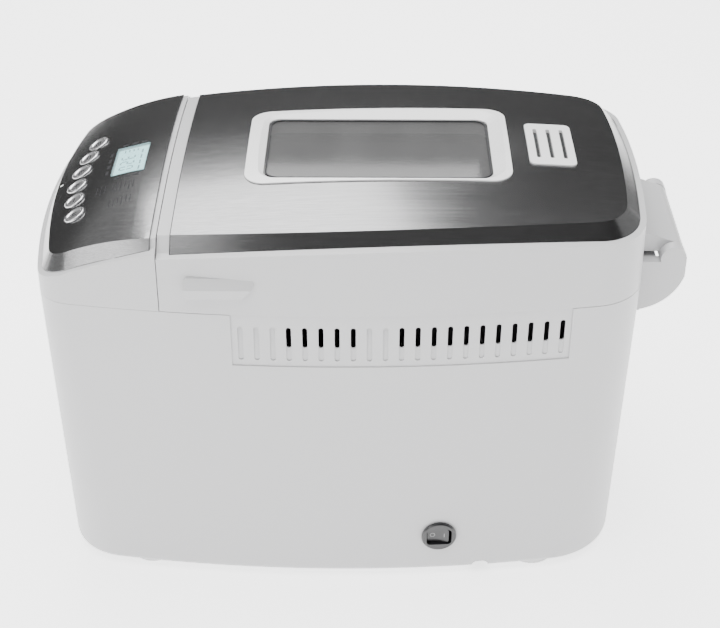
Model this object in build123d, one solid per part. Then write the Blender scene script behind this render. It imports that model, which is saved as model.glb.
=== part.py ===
from build123d import *
import math
import os

# A table-top bread machine: a tub-shaped base with the baking chamber, a control housing over its
# front end, and a deep lid hinged at the back.  Millimetres.  +X is the machine's right side,
# -Y its front, +Y its back, +Z up.  The origin is under the middle of its bounding box.

# ---------------------------------------------------------------- body
HALF_WIDTH = 113.0          # half the width at the widest place of the bulged sides
FRONT_Y = -203.8            # middle of the bulged front wall
REAR_Y = 174.6              # middle of the bulged back wall
SIDE_MID_Y = -21.0          # where the sides bulge most
SIDE_BULGE_FRONT = 16.4     # how far the side has come in by the front corner
SIDE_BULGE_REAR = 18.6      # and by the back corner
FRONT_BULGE = 9.5
REAR_BULGE = 5.0
SIDE_DRAFT = math.tan(math.radians(1.5))
END_DRAFT = math.tan(math.radians(0.7))
FRONT_CORNER = 24.0         # plan radius of the front corners at the seam
REAR_CORNER = 35.0
CORNER_GROWTH = 0.075       # extra plan radius for each millimetre below the seam
WALL = 2.5
FOOT_HEIGHT = 5.0
SEAM_Z = 212.7              # joint between the base and what stands on it
SEAM_GAP = 0.4
BOTTOM_EDGE = 4.5           # rounding of the bottom edge
FLOOR = 3.0

# ---------------------------------------------------------------- top surfaces
LID_FRONT_Y = -120.9        # split between the control housing and the lid
SPLIT_GAP = 0.5
FOLD_HALF = 98.3            # half width of the flat of the metal skins
CROWN = 7.2                 # rise of the top across its width
SKIN = 0.8                  # thickness of the metal skins
LID_EDGE = (3.5, 8.5, 8.0)      # skin's edge in from the wall, then its fold: in, and up
PANEL_EDGE = (2.5, 6.0, 7.0)    # the same for the control fascia
TOP_WALL = 3.5              # moulding under the skins
LID_SKIN_Y = -112.7         # plain front edge of the lid's skin
FASCIA_Y = -124.6           # plain back edge of the control fascia
LID_TOP = ((-112.7, 258.0), (52.2, 265.0), (170.0, 259.4))        # (y, z) of the fold line
LID_RIM = ((-107.7, 251.0), (25.0, 258.8), (146.0, 253.7))        # and of the rim below it
PANEL_TOP = ((-120.9, 257.7), (-155.2, 250.6), (-198.7, 229.5))
PANEL_RIM = ((-124.0, 252.4), (-160.0, 241.0), (-203.0, 220.0))
LID_ENDS = (-135.0, 190.0)
PANEL_ENDS = (-216.0, -100.0)

# ---------------------------------------------------------------- side vents and switch
VENT_COUNT = 21
VENT_PITCH = 9.72
VENT_FIRST_Y = -72.9
VENT_WIDTH = 3.1
VENT_CLOSED = (0, 1, 2, 8, 9)
VENT_TOP = 204.3
VENT_OPEN_BOTTOM = 189.0
VENT_BOTTOM = 179.7
VENT_PANEL = (-78.5, 127.0, 175.5)      # first y, last y and bottom z of the recessed panel
VENT_PANEL_DEPTH = 0.7
VENT_GROOVE = 1.0
SWITCH_Y = 51.1
SWITCH_Z = 36.2
SWITCH_HOLE = 10.0
SWITCH_BEZEL = 11.5
ROCKER_TILT = 7.0
ROCKER_DEPTH = 4.0          # pivot of the rocker, inside the wall's face
ROCKER_DISH = 38.0          # radius of the rocker's hollow face
TRUNNION = 7.4              # half length of the pin that the rocker turns on
NOTCH_Y = 79.4
NOTCH_WIDTH = 11.0
NOTCH_HEIGHT = 5.5
GLAND_X = -30.0
GLAND_Z = 40.0
GLAND_HOLE = 7.5

# ---------------------------------------------------------------- hinge
HINGE_Y = 195.6
HINGE_Z = 213.2
BARREL = 8.4
EAR_OUT = 46.0
EAR_IN = 38.3
EAR_SKIN = 2.0              # left over the outer ends of the pins
PIN = 3.0
PIN_FIT = 0.05

# ---------------------------------------------------------------- chamber, pan and drive
CHAMBER_Y = 25.0
CHAMBER_LENGTH = 246.0
CHAMBER_WIDTH = 164.0
CHAMBER_FLOOR = 46.0
DECK_TOP = 210.0
SHEET = 1.0
PAN_LENGTH = 212.0
PAN_WIDTH = 124.0
PAN_FLOOR = 64.0
PAN_RIM = 176.0
PAN_DRAFT = 3.0
PAN_WALL = 1.6
PIVOT_Z = 158.0
BAIL_HEIGHT = 72.0
BAIL_WIRE = 2.5
SPINDLE_Y = (-27.0, 77.0)
SPINDLE = 4.0
CHASSIS_Z = 29.0
CHASSIS = 2.0
MOTOR_Y = -158.0
MOTOR_R = 31.0
MOTOR_HEIGHT = 62.0
LINK_R = 22.0
LINK_Z = 12.0
LARGE_R = 34.0
SMALL_R = 8.5
DRIVE_Z = 20.5
BELT_WIDTH = 5.5
BELT = 2.0
CLEAR = 0.3

# ---------------------------------------------------------------- lid openings
WINDOW = (-72.7, 92.2, 49.2)        # first y, last y and half width of the window frame
WINDOW_CORNER = 13.0
WINDOW_BAND = 8.8           # outer edge of the frame to the glass, at the sides
WINDOW_END = 2.5            # what the frame's front and back are wider by
WINDOW_PROUD = 0.8
DISH_RISE = 5.5             # height of the frame's hollow, clear of its top
DISH_SLOPE = 60.0           # and how far its sides lean out from upright, in degrees
GLASS_Z = 263.4
GLASS = 3.0
GRILLE = (103.8, 133.1, 27.5)
GRILLE_SLOT_Y = (110.0, 118.4, 126.8)
GRILLE_SLOT = (39.0, 2.6)
GRIP = (-104.6, -63.6, SEAM_Z + 13.5, SEAM_Z + 25.0)    # finger lip: first y, last y, heights
GRIP_REACH = 4.0
LINER_TOP = 251.0
LINER_BOTTOM = 214.2
LINER_WIDTH = 172.0
LINER_LENGTH = 254.0

# ---------------------------------------------------------------- control panel
LCD = (2.8, -147.8, 36.0, 21.8)     # x, y, width across and length down the slope
BUTTON_MID_X = 7.9
BUTTON_PITCH = 18.1
BUTTON_Y = -181.0
BUTTON_BOW = (12.0, 0.0025)         # x of the row's foremost point, and how it curves back
BUTTON_R = 7.2
BUTTON_PROUD = 1.4
BUTTON_DEEP = 6.0
BUTTON_ANGLE = 28.0
BOARD_ANGLE = 24.0
BUTTONS = ("start_stop_button", "time_down_button", "time_up_button",
           "loaf_size_button", "crust_button", "menu_button")
LED = (5.1, -193.2, 0.8, 1.2)       # x, y, half across and half down the slope


def circle_through(a, b, c):
    """Centre and radius of the circle through three points of a plane."""
    d = 2 * (a[0] * (b[1] - c[1]) + b[0] * (c[1] - a[1]) + c[0] * (a[1] - b[1]))
    sq = [p[0] ** 2 + p[1] ** 2 for p in (a, b, c)]
    u = (sq[0] * (b[1] - c[1]) + sq[1] * (c[1] - a[1]) + sq[2] * (a[1] - b[1])) / d
    v = (sq[0] * (c[0] - b[0]) + sq[1] * (a[0] - c[0]) + sq[2] * (b[0] - a[0])) / d
    return u, v, math.hypot(a[0] - u, a[1] - v)


LID_ARC = circle_through(*LID_TOP)
LID_RIM_ARC = circle_through(*LID_RIM)
PANEL_ARC = circle_through(*PANEL_TOP)
PANEL_RIM_ARC = circle_through(*PANEL_RIM)
CROWN_R = (FOLD_HALF ** 2 + CROWN ** 2) / (2 * CROWN)


def top_z(arc, x, y):
    """Height of a crowned top surface at x, y."""
    v, w, r = arc
    sag = CROWN_R - math.sqrt(CROWN_R ** 2 - x ** 2)
    return w + math.sqrt((r + CROWN - sag) ** 2 - (y - v) ** 2)


def side_x(y, z):
    """Where the right wall stands at y, z."""
    front = FRONT_Y + FRONT_BULGE
    rear = REAR_Y - REAR_BULGE
    u, v, r = circle_through((front, HALF_WIDTH - SIDE_BULGE_FRONT), (SIDE_MID_Y, HALF_WIDTH),
                             (rear, HALF_WIDTH - SIDE_BULGE_REAR))
    return v + math.sqrt(r ** 2 - (y - u) ** 2) - abs(SEAM_Z - z) * SIDE_DRAFT


def wall_plane(y, z):
    """A plane on the right wall at y, z: its local x runs to the back, its z outwards."""
    slope = (side_x(y + 1, z) - side_x(y - 1, z)) / 2
    return Plane(origin=(side_x(y, z), y, z), x_dir=(slope, 1, 0), z_dir=(1, -slope, -SIDE_DRAFT))


def rear_y(x, z):
    """Where the back wall stands at x, z."""
    half = HALF_WIDTH - SIDE_BULGE_REAR
    v, w, r = circle_through((-half, REAR_Y - REAR_BULGE), (0, REAR_Y), (half, REAR_Y - REAR_BULGE))
    return w + math.sqrt(r ** 2 - (x - v) ** 2) - abs(SEAM_Z - z) * END_DRAFT


def plan_face(z, inset=0.0):
    """The body's bulged, round-cornered outline at height z, moved in by inset."""
    depth = abs(SEAM_Z - z)
    side = HALF_WIDTH - depth * SIDE_DRAFT - inset
    front = FRONT_Y + depth * END_DRAFT + inset
    rear = REAR_Y - depth * END_DRAFT - inset
    xf = side - SIDE_BULGE_FRONT
    xr = side - SIDE_BULGE_REAR
    yf = front + FRONT_BULGE
    yr = rear - REAR_BULGE
    edges = [
        ThreePointArc((-xf, yf), (0, front), (xf, yf)),
        ThreePointArc((xf, yf), (side, SIDE_MID_Y), (xr, yr)),
        ThreePointArc((xr, yr), (0, rear), (-xr, yr)),
        ThreePointArc((-xr, yr), (-side, SIDE_MID_Y), (-xf, yf)),
    ]
    face = make_face(edges)
    growth = max(SEAM_Z - z, 0) * CORNER_GROWTH
    corners = face.vertices().sort_by(Axis.Y)
    face = fillet(corners[:2], FRONT_CORNER + growth - min(inset, FRONT_CORNER - 6))
    corners = face.vertices().group_by(Axis.Y)[-1]
    face = fillet(corners, REAR_CORNER + growth - min(inset, REAR_CORNER - 6))
    return Pos(0, 0, z) * face


def tub(z0, z1, inset=0.0):
    """A solid with the body's outline from z0 to z1."""
    return loft([plan_face(z0, inset), plan_face(z1, inset)], ruled=True)


def region(x0, x1, y0, y1, z0, z1):
    """A box between two corners."""
    return Pos((x0 + x1) / 2, (y0 + y1) / 2, (z0 + z1) / 2) * Box(abs(x1 - x0), y1 - y0, z1 - z0)


def rounded_prism(x, y, width, length, z0, z1, corner):
    """An upright prism with rounded corners, width along X and length along Y."""
    return Pos(x, y, z0) * extrude(RectangleRounded(width, length, corner), z1 - z0)


def rod(x, y, z0, z1, radius):
    """An upright round rod."""
    return Pos(x, y, (z0 + z1) / 2) * Cylinder(radius, z1 - z0)


def tube(x, y, z0, z1, outer, inner):
    """An upright tube."""
    return rod(x, y, z0, z1, outer) - rod(x, y, z0 - 1, z1 + 1, inner)


def crowned(arc, ends, drop=0.0, low=110.0):
    """A wide layer, low deep, whose top is an arc lengthways and a crown across."""
    v, w, r = arc
    start = math.asin((ends[0] - v) / r)
    end = math.asin((ends[1] - v) / r)
    reach = 128.0
    sag = CROWN_R - math.sqrt(CROWN_R ** 2 - reach ** 2)
    top = r + CROWN - drop
    plane = Plane(origin=(0, v, w), x_dir=(1, 0, 0), z_dir=(0, -math.cos(start), math.sin(start)))
    edges = [
        ThreePointArc((-reach, top - sag), (0, top), (reach, top - sag)),
        Line((reach, top - sag), (reach, top - sag - low)),
        ThreePointArc((reach, top - sag - low), (0, top - low), (-reach, top - sag - low)),
        Line((-reach, top - sag - low), (-reach, top - sag)),
    ]
    section = plane * make_face(edges)
    return revolve(section, Axis((0, v, w), (-1, 0, 0)), math.degrees(end - start))


def save(name, shape):
    """Write one sub-part."""
    export_step(shape, "parts/" + name + ".step")


# ---------------------------------------------------------------- base
def vent_grooves(side):
    """The row of upright grooves in one side wall, and the slots through some of them."""
    cutters = []
    for i in range(VENT_COUNT):
        y = VENT_FIRST_Y + i * VENT_PITCH
        length = VENT_TOP - VENT_BOTTOM
        middle = (VENT_TOP + VENT_BOTTOM) / 2
        x = side_x(y, middle) - VENT_PANEL_DEPTH - VENT_GROOVE
        upright = Plane(origin=(side * x, y, middle), x_dir=(0, 0, 1), z_dir=(side, 0, 0))
        groove = extrude(upright * SlotOverall(length, VENT_WIDTH), 6)
        cutters.append(groove)
        if i in VENT_CLOSED:
            continue
        length = VENT_TOP - VENT_OPEN_BOTTOM
        middle = (VENT_TOP + VENT_OPEN_BOTTOM) / 2
        upright = Plane(origin=(side * (x - 6), y, middle), x_dir=(0, 0, 1), z_dir=(side, 0, 0))
        cutters.append(extrude(upright * SlotOverall(length, VENT_WIDTH), 12))
    return cutters


def base_housing():
    top = SEAM_Z - SEAM_GAP / 2
    body = tub(FOOT_HEIGHT, top)
    body = fillet(body.edges().group_by(Axis.Z)[0], BOTTOM_EDGE)
    body -= tub(FOOT_HEIGHT + FLOOR, SEAM_Z, WALL)
    body -= tub(FOOT_HEIGHT - 1, FOOT_HEIGHT + FLOOR + 1, 36)
    y0, y1, z0 = VENT_PANEL
    kept = tub(z0 - 20, SEAM_Z + 0.3, VENT_PANEL_DEPTH)
    for side in (-1, 1):
        body -= region(60 * side, 130 * side, y0, y1, z0, top + 0.2) - kept
        for cutter in vent_grooves(side):
            body -= cutter
    body -= extrude(wall_plane(SWITCH_Y, SWITCH_Z).offset(-20) * Circle(SWITCH_HOLE), 30)
    body -= Pos(GLAND_X, REAR_Y, GLAND_Z) * Rot(90, 0, 0) * Cylinder(GLAND_HOLE, 30)
    notch = region(70, 130, NOTCH_Y - NOTCH_WIDTH / 2, NOTCH_Y + NOTCH_WIDTH / 2,
                   FOOT_HEIGHT - 2, FOOT_HEIGHT + NOTCH_HEIGHT)
    body -= fillet(notch.edges().filter_by(Axis.X).group_by(Axis.Z)[-1], 4)
    return body


def bottom_plate():
    z = FOOT_HEIGHT + FLOOR
    plate = tub(z, z + 2, 12)
    for x in (-42, -30, -18, 18, 30, 42):
        for y in (-100, -60, 110, 140):
            plate -= Pos(x, y, z - 1) * extrude(SlotOverall(24, 4, rotation=90), 4)
    return plate


def feet():
    group = []
    for x in (-78, 78):
        for y in (-141.7, 115.3):
            foot = rod(x, y, 0, FOOT_HEIGHT, 16)
            group.append(fillet(foot.edges().group_by(Axis.Z)[0], 1.5))
    return Compound(group)


def deck_frame():
    """The moulded rim around the mouth of the baking chamber."""
    deck = tub(DECK_TOP - 2, DECK_TOP, WALL + CLEAR)
    deck &= region(-130, 130, LID_FRONT_Y - 2, 200, DECK_TOP - 5, DECK_TOP + 1)
    mouth = CHAMBER_WIDTH + 2 * SHEET + 1
    deck -= rounded_prism(0, CHAMBER_Y, mouth, CHAMBER_LENGTH + 2 * SHEET + 1, 200, 220, 15)
    return deck


def chassis_plate():
    z = CHASSIS_Z
    plate = region(-74, 74, -190, 158, z, z + CHASSIS)
    plate = fillet(plate.edges().filter_by(Axis.Z), 12)
    plate -= rod(0, MOTOR_Y, z - 1, z + 5, 13)
    for y in SPINDLE_Y:
        plate -= rod(0, y, z - 1, z + 5, 13)
    for x in (-66, 66):
        for y in (-150, 135):
            plate += region(x - 6, x + 6, y - 8, y + 8, FOOT_HEIGHT + FLOOR + 2, z)
    return plate


def housing_screws():
    """Screws that hold the bottom plate and the chassis."""
    group = []
    for x in (-72, 72):
        for y in (-110, 60):
            shaft = rod(x, y, FOOT_HEIGHT + FLOOR + 2, FOOT_HEIGHT + FLOOR + 3.8, 3.6)
            group.append(fillet(shaft.edges().group_by(Axis.Z)[-1], 1.2))
    for x in (-66, 66):
        for y in (-150, 135):
            head = rod(x, y, CHASSIS_Z + CHASSIS, CHASSIS_Z + CHASSIS + 2.2, 3.8)
            group.append(fillet(head.edges().group_by(Axis.Z)[-1], 1.2))
    return Compound(group)


def cord_gland():
    """The flanged bush in the back wall that the mains lead would pass through."""
    wall = Plane(origin=(GLAND_X, rear_y(GLAND_X, GLAND_Z), GLAND_Z), x_dir=(1, 0, 0), z_dir=(0, 1, 0))
    bush = extrude(wall.offset(-7) * Circle(GLAND_HOLE - 0.5), 10)
    bush += extrude(wall.offset(1) * Circle(GLAND_HOLE + 2.5), 3)
    bush += extrude(wall.offset(-7) * Circle(GLAND_HOLE + 2), 3)
    bush -= extrude(wall.offset(-12) * Circle(3.8), 40)
    return bush


def switch_parts():
    """The round bezel of the power switch and its rocker, which rests with one end pressed."""
    wall = wall_plane(SWITCH_Y, SWITCH_Z)
    bezel = extrude(wall.offset(-17) * Circle(SWITCH_HOLE - 0.3), 18)
    flange = extrude(wall.offset(0.4) * Circle(SWITCH_BEZEL), 2.0)
    bezel += chamfer(flange.edges().sort_by(Axis(wall.origin, wall.z_dir))[-1], 0.8)
    bezel -= extrude(wall.offset(-9) * RectangleRounded(16.4, 12.4, 2.5), 14)
    pivot = wall.offset(-ROCKER_DEPTH)
    rocker = extrude(pivot.offset(-3) * RectangleRounded(14.0, 11.4, 2), 9.6)
    centre = wall.offset(ROCKER_DISH).origin
    dish = Plane(origin=centre - wall.y_dir * 15, x_dir=wall.x_dir, z_dir=wall.y_dir)
    rocker -= extrude(dish * Circle(ROCKER_DISH), 30)
    trunnion = Plane(origin=pivot.origin - wall.y_dir * TRUNNION, x_dir=wall.x_dir, z_dir=wall.y_dir)
    rocker += extrude(trunnion * Circle(1.2), 2 * TRUNNION)
    bezel -= extrude(trunnion.offset(-0.3) * Circle(1.2 + PIN_FIT), 2 * TRUNNION + 0.6)
    return bezel, rocker.rotate(Axis(pivot.origin, wall.y_dir), -ROCKER_TILT)


# ---------------------------------------------------------------- chamber
def chamber_liner():
    corner = 14
    outer = rounded_prism(0, CHAMBER_Y, CHAMBER_WIDTH + 2 * SHEET, CHAMBER_LENGTH + 2 * SHEET,
                          CHAMBER_FLOOR, DECK_TOP, corner + SHEET)
    liner = outer - rounded_prism(0, CHAMBER_Y, CHAMBER_WIDTH, CHAMBER_LENGTH,
                                  CHAMBER_FLOOR + SHEET, DECK_TOP + 5, corner)
    rim = rounded_prism(0, CHAMBER_Y, CHAMBER_WIDTH + 10, CHAMBER_LENGTH + 10,
                        DECK_TOP, DECK_TOP + 0.8, corner + 5)
    liner += rim - rounded_prism(0, CHAMBER_Y, CHAMBER_WIDTH, CHAMBER_LENGTH,
                                 DECK_TOP - 1, DECK_TOP + 5, corner)
    for y in SPINDLE_Y:
        liner -= rod(0, y, CHAMBER_FLOOR - 1, CHAMBER_FLOOR + 3, 13.2)
    for x in (-30, 30):
        front = CHAMBER_Y - CHAMBER_LENGTH / 2
        liner -= Pos(x, front, 60) * Rot(90, 0, 0) * Cylinder(6, 10)
    liner -= Pos(0, CHAMBER_Y - CHAMBER_LENGTH / 2, 110) * Rot(90, 0, 0) * Cylinder(4.2, 10)
    return liner


def heating_element():
    """The tubular element: a rounded loop whose ends pass through the front wall."""
    half = CHAMBER_WIDTH / 2 - 8
    front = CHAMBER_Y - CHAMBER_LENGTH / 2 + 8
    rear = CHAMBER_Y + CHAMBER_LENGTH / 2 - 8
    route = FilletPolyline(
        (-30, front - 22, 60), (-30, front, 60), (-half, front, 60), (-half, rear, 60),
        (half, rear, 60), (half, front, 60), (30, front, 60), (30, front - 22, 60), radius=7)
    start = Plane(origin=(-30, front - 22, 60), z_dir=(0, 1, 0))
    return sweep(start * Circle(3.2), path=route)


def element_insulators():
    group = []
    front = CHAMBER_Y - CHAMBER_LENGTH / 2
    for x in (-30, 30):
        bush = Pos(x, front - 4.5, 60) * Rot(90, 0, 0) * Cylinder(5.9, 9)
        bush += Pos(x, front - 5, 60) * Rot(90, 0, 0) * Cylinder(8.5, 3)
        bush -= Pos(x, front, 60) * Rot(90, 0, 0) * Cylinder(3.25, 40)
        group.append(bush)
    return Compound(group)


def element_clips():
    """Wire-like saddles that hold the element off the chamber's walls."""
    group = []
    half = CHAMBER_WIDTH / 2 - 8
    for side in (-1, 1):
        for y in (-35, 85):
            clip = region(side * (half - 5), side * (half + 8), y - 3, y + 3, 55.6, 56.6)
            clip += region(side * (half - 5), side * (half - 4), y - 3, y + 3, 55.6, 60)
            group.append(clip)
    return Compound(group)


def temperature_sensor():
    front = CHAMBER_Y - CHAMBER_LENGTH / 2
    probe = Pos(0, front + 4, 110) * Rot(90, 0, 0) * Cylinder(4.0, 20)
    probe = fillet(probe.edges().group_by(Axis.Y)[-1], 3)
    return probe + Pos(0, front - 3, 110) * Rot(90, 0, 0) * Cylinder(7, 3)


def thermal_fuse():
    front = CHAMBER_Y - CHAMBER_LENGTH / 2 - SHEET
    body = Pos(45, front - 3, 120) * Rot(0, 90, 0) * Cylinder(3, 14)
    return body + region(40, 50, front - 3, front, 117, 123)


def heat_shield():
    """Reflector plate between the chamber and the works at the front."""
    y = CHAMBER_Y - CHAMBER_LENGTH / 2 - 14
    shield = region(-84, 84, y, y + SHEET, CHASSIS_Z + CHASSIS, 205)
    shield += region(-84, 84, y - 12, y, CHASSIS_Z + CHASSIS, CHASSIS_Z + CHASSIS + SHEET)
    for x in (-30, 30):
        shield -= Pos(x, y, 60) * Rot(90, 0, 0) * Cylinder(6, 10)
    return shield


# ---------------------------------------------------------------- drive
def motor():
    z = CHASSIS_Z + CHASSIS
    can = rod(0, MOTOR_Y, z, z + MOTOR_HEIGHT, MOTOR_R)
    can = fillet(can.edges().group_by(Axis.Z)[-1], 5)
    can += rod(0, MOTOR_Y, z + MOTOR_HEIGHT - 1, z + MOTOR_HEIGHT + 5, 12)
    can += region(-40, 40, MOTOR_Y - 14, MOTOR_Y + 14, z + 10, z + MOTOR_HEIGHT - 14)
    return can - rod(0, MOTOR_Y, z - 1, z + 90, SPINDLE + PIN_FIT)


def motor_pulley():
    """The motor's shaft with the small belt pulley on its lower end."""
    z = CHASSIS_Z + CHASSIS + MOTOR_HEIGHT
    shaft = rod(0, MOTOR_Y, LINK_Z, z + 18, SPINDLE)
    shaft += rod(0, MOTOR_Y, DRIVE_Z, DRIVE_Z + BELT_WIDTH, SMALL_R)
    for edge in (DRIVE_Z - 1, DRIVE_Z + BELT_WIDTH):
        shaft += rod(0, MOTOR_Y, edge, edge + 1, SMALL_R + 2.5)
    return shaft


def motor_fan():
    z = CHASSIS_Z + CHASSIS + MOTOR_HEIGHT + 8
    fan = tube(0, MOTOR_Y, z, z + 9, 8, SPINDLE)
    for i in range(7):
        blade = Pos(17, 0, z + 4.5) * Rot(28, 0, 0) * Box(22, 1.2, 9)
        fan += Pos(0, MOTOR_Y, 0) * Rot(0, 0, i * 360 / 7) * blade
    return fan


def belt(y0, r0, y1, r1, z):
    """A flat belt round two pulleys, a hair clear of both."""
    loops = []
    for grow in (CLEAR, CLEAR + BELT):
        a = r0 + grow
        b = r1 + grow
        gap = y1 - y0
        lean = math.asin((a - b) / gap)
        ca = math.cos(lean)
        sa = math.sin(lean)
        points = [(a * ca, y0 + a * sa), (b * ca, y1 + b * sa),
                  (-b * ca, y1 + b * sa), (-a * ca, y0 + a * sa)]
        edges = [
            Line(points[0], points[1]),
            ThreePointArc(points[1], (0, y1 + b), points[2]),
            Line(points[2], points[3]),
            ThreePointArc(points[3], (0, y0 - a), points[0]),
        ]
        loops.append(make_face(edges))
    return Pos(0, 0, z + 0.3) * extrude(loops[1] - loops[0], BELT_WIDTH - 0.6)


def pulley(y, radius, z, lip):
    """A flanged belt pulley with lightening holes."""
    wheel = rod(0, y, z, z + BELT_WIDTH, radius)
    for edge in (z - 1, z + BELT_WIDTH):
        wheel += rod(0, y, edge, edge + 1, radius + lip)
    for i in range(6):
        angle = math.radians(i * 60)
        spot = radius * 0.62
        wheel -= rod(spot * math.cos(angle), y + spot * math.sin(angle), z - 3, z + 12, radius * 0.17)
    return wheel


def drive_pulley(y, double):
    wheel = pulley(y, LINK_R, LINK_Z + 0.5, 2.5)
    if double:
        upper = pulley(y, LARGE_R, DRIVE_Z, 2.0)
        wheel += upper
        wheel += rod(0, y, LINK_Z, DRIVE_Z, SPINDLE + 5)
    return wheel - rod(0, y, 0, 60, SPINDLE)


def spindle(y):
    """A drive spindle, with the two-lug coupler on its upper end."""
    shaft = rod(0, y, 10.5, 58, SPINDLE)
    shaft += rod(0, y, 51, 54, 11.5)
    for side in (-1, 1):
        lug = tube(0, y, 53, 61, 11.5, 7.5) & region(side * 2, side * 12, y - 5, y + 5, 52, 62)
        shaft += lug
    return shaft - rod(0, y, 54, 70, 6.0)


def spindle_bearings():
    group = []
    z = CHASSIS_Z + CHASSIS
    for y in SPINDLE_Y:
        housing = rod(0, y, z, z + 4, 22) + rod(0, y, z, 50.4, 12.5)
        housing -= rod(0, y, z - 5, 60, SPINDLE + PIN_FIT)
        group.append(housing)
    return Compound(group)


# ---------------------------------------------------------------- bread pan
def pan_solid(wall, z0, z1):
    """The pan's tapered shape from z0 to z1, thinner all round by wall."""
    grow = (PAN_RIM - z0) * math.tan(math.radians(PAN_DRAFT)) + wall
    low = RectangleRounded(PAN_WIDTH - 2 * grow, PAN_LENGTH - 2 * grow, 16 - wall)
    high = RectangleRounded(PAN_WIDTH - 2 * wall, PAN_LENGTH - 2 * wall, 20 - wall)
    return loft([Pos(0, CHAMBER_Y, z0) * low, Pos(0, CHAMBER_Y, z1) * high], ruled=True)


def bread_pan():
    """The drawn pan, with a rolled rim and a pivot boss at each end."""
    pan = pan_solid(0, PAN_FLOOR, PAN_RIM)
    pan += rounded_prism(0, CHAMBER_Y, PAN_WIDTH + 6, PAN_LENGTH + 6, PAN_RIM - 2.4, PAN_RIM, 23)
    for side in (-1, 1):
        y = CHAMBER_Y + side * (PAN_LENGTH / 2 + 1)
        pan += Pos(0, y, PIVOT_Z) * Rot(90, 0, 0) * Cylinder(7, 4)
        pan += Pos(0, y + side * 3.5, PIVOT_Z) * Rot(90, 0, 0) * Cylinder(PIN, 8)
    pan -= pan_solid(PAN_WALL, PAN_FLOOR + PAN_WALL, PAN_RIM + 0.1)
    for y in SPINDLE_Y:
        pan -= rod(0, y, PAN_FLOOR - 2, PAN_FLOOR + 4, 9)
    return pan


def pan_bushes():
    group = []
    for y in SPINDLE_Y:
        bush = rod(0, y, PAN_FLOOR - 0.6, PAN_FLOOR + 5, 8.9) + rod(0, y, PAN_FLOOR + 1.6, PAN_FLOOR + 3, 12)
        group.append(bush - rod(0, y, 50, 90, SPINDLE + PIN_FIT))
    return Compound(group)


def pan_shaft(y):
    """A pan shaft with the wing that drops between the spindle's lugs."""
    shaft = rod(0, y, 56, PAN_FLOOR + 26, SPINDLE)
    flat = region(2.6, 6, y - 5, y + 5, PAN_FLOOR + 6, PAN_FLOOR + 30)
    wing = region(-2.2, 2.2, y - 10.5, y + 10.5, 56, 62.5)
    return shaft - flat + wing


def paddle(y):
    """A kneading paddle: a hub that drops on the shaft, and one swept blade."""
    z = PAN_FLOOR + 6.2
    hub = rod(0, y, z, z + 22, 9)
    hub = fillet(hub.edges().group_by(Axis.Z)[-1], 3)
    outline = Plane.XZ * make_face(Polyline(
        (6, z), (33, z + 0.5), (36, z + 8), (30, z + 24), (22, z + 33), (14, z + 34), (6, z + 22),
        close=True))
    blade = Pos(0, y + 2, 0) * extrude(outline, 4)
    blade = fillet(blade.edges().filter_by(Axis.Y), 2.5)
    bore = rod(0, y, z - 5, z + 20, SPINDLE + 0.08)
    bore -= region(2.68, 8, y - 6, y + 6, z - 6, z + 30)
    return hub + blade - bore


def pan_handle():
    """The wire bail, folded down beside the pan."""
    end = PAN_LENGTH / 2 + 6.3
    reach = BAIL_HEIGHT
    y0 = CHAMBER_Y - end
    y1 = CHAMBER_Y + end
    route = FilletPolyline((8, y0, PIVOT_Z), (reach, y0, PIVOT_Z), (reach, y1, PIVOT_Z),
                           (8, y1, PIVOT_Z), radius=9)
    start = Plane(origin=(8, y0, PIVOT_Z), z_dir=(1, 0, 0))
    bail = sweep(start * Circle(BAIL_WIRE), path=route)
    for y in (y0, y1):
        eye = Pos(0, y, PIVOT_Z) * Rot(90, 0, 0) * Cylinder(6.0, 4)
        eye += region(4, 10, y - 2, y + 2, PIVOT_Z - 2.5, PIVOT_Z + 2.5)
        bail += eye
    return bail - Pos(0, CHAMBER_Y, PIVOT_Z) * Rot(90, 0, 0) * Cylinder(PIN + PIN_FIT, 400)


# ---------------------------------------------------------------- control housing
def panel_frame(x, y, angle):
    """A plane on the control panel's surface at x, y, leaning back by angle."""
    lean = math.radians(angle)
    return Plane(origin=(x, y, top_z(PANEL_ARC, x, y)), x_dir=(1, 0, 0),
                 z_dir=(0, -math.sin(lean), math.cos(lean)))


def button_spots():
    """Centres of the six buttons, on their shallow arc."""
    spots = []
    for i in range(6):
        x = BUTTON_MID_X + (2.5 - i) * BUTTON_PITCH
        spots.append((x, BUTTON_Y + BUTTON_BOW[1] * (x - BUTTON_BOW[0]) ** 2))
    return spots


def panel_slope(y):
    return math.degrees(math.asin(-(y - PANEL_ARC[0]) / PANEL_ARC[2]))


def panel_openings(grow):
    """The holes through the fascia and the housing: buttons, display and lamp."""
    cutters = []
    for x, y in button_spots():
        cutters.append(extrude(panel_frame(x, y, BUTTON_ANGLE).offset(-8) * Circle(BUTTON_R + 0.4), 14))
    x, y, width, length = LCD
    frame = panel_frame(x, y, panel_slope(y)).offset(-8)
    cutters.append(extrude(frame * Rectangle(width + grow, length + grow), 14))
    x, y, half, reach = LED
    frame = panel_frame(x, y, panel_slope(y)).offset(-8)
    cutters.append(extrude(frame * RectangleRounded(2 * half + grow, 2 * reach + grow, 0.7), 14))
    return cutters


def folded_block(arc, ends, span, edge, step):
    """A crowned block from one y to another, its outer edges folded down, shrunk by step."""
    inset, run, drop = edge
    block = tub(SEAM_Z, SEAM_Z + 65, inset + step)
    block &= region(-140, 140, span[0], span[1], SEAM_Z + 1, 300)
    block &= crowned(arc, ends, step, 24.0)
    top = block.faces().sort_by(Axis.Z)[-1]
    folds = []
    for line in top.edges():
        y = line.center().Y
        if abs(y - span[0]) > 1 and abs(y - span[1]) > 1:
            folds.append(line)
    return chamfer(folds, run, drop, reference=top)


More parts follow.
